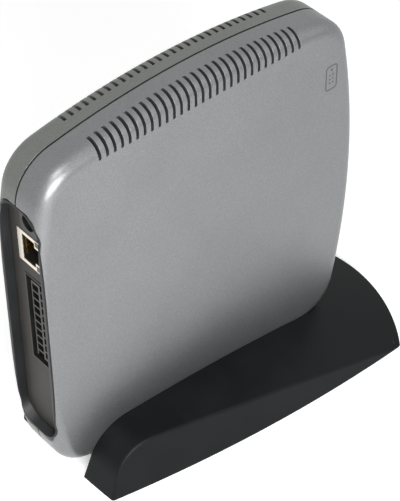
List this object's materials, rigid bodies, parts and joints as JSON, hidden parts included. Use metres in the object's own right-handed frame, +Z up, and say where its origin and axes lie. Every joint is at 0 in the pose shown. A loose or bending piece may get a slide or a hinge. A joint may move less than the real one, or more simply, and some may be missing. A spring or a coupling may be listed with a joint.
{
  "type": "network media player",
  "caption": "Slim upright network media player with bowed edges and a vented top, standing in the slot of a wedge-shaped stand",
  "frame": {"origin": "Centre of the bounding box's bottom, on the table the stand's feet rest on.", "axes": "+Z up. +Y is the thin way through the casing, towards its far face. +X runs from the connector edge to the round nose of the stand."},
  "size_m": [0.1685, 0.0896, 0.1621],
  "materials": {
    "silver_casing": "satin silver paint on moulded plastic",
    "silver_casing_far": "satin silver paint on moulded plastic, the far half",
    "recess_plastic": "fine-textured dark grey plastic",
    "circuit_board": "green solder mask on glass-fibre laminate",
    "nickel_shield": "nickel-plated sheet",
    "black_socket": "black moulded socket plastic",
    "contact_metal": "gold-flashed spring contacts",
    "clear_light": "clear tinted light pipe",
    "chip_package": "moulded epoxy package",
    "heat_sink_metal": "extruded aluminium, satin",
    "ferrite": "pressed ferrite",
    "capacitor_sleeve": "shrunk sleeve over an aluminium can",
    "receiver_epoxy": "infrared-clear black epoxy",
    "smoked_window": "polished smoked window",
    "screw_steel": "zinc-plated steel",
    "stand_plastic": "satin black moulded plastic",
    "stand_underside": "fine-textured black plastic",
    "foot_rubber": "soft black rubber"
  },
  "bodies": {
    "stand": {"stand_shell": "stand_plastic", "stand_base_plate": "stand_underside", "stand_screws": "screw_steel", "stand_feet": "foot_rubber"},
    "player": {"near_shell": "silver_casing", "far_shell": "silver_casing_far", "rear_bezel": "recess_plastic", "connector_panel": "recess_plastic", "main_board": "circuit_board", "lan_jack_shield": "nickel_shield", "lan_jack_insert": "black_socket", "lan_contacts": "contact_metal", "lan_lights": "clear_light", "av_socket_housing": "black_socket", "av_socket_contacts": "contact_metal", "power_jack_body": "black_socket", "power_jack_pin": "contact_metal", "decoder_chip": "chip_package", "heat_sink": "heat_sink_metal", "memory_chips": "chip_package", "flash_chip": "chip_package", "network_chip": "chip_package", "lan_transformer": "chip_package", "power_coils": "ferrite", "crystals": "nickel_shield", "capacitors": "capacitor_sleeve", "ir_receiver": "receiver_epoxy", "power_light": "clear_light", "ir_window": "smoked_window", "shell_screws": "screw_steel", "board_screws": "screw_steel"}
  },
  "joints": [
    {"name": "player_lift", "type": "slide", "parent": "stand", "child": "player", "axis": [0, 0, 1], "range_m": [0, 0.03]}
  ]
}
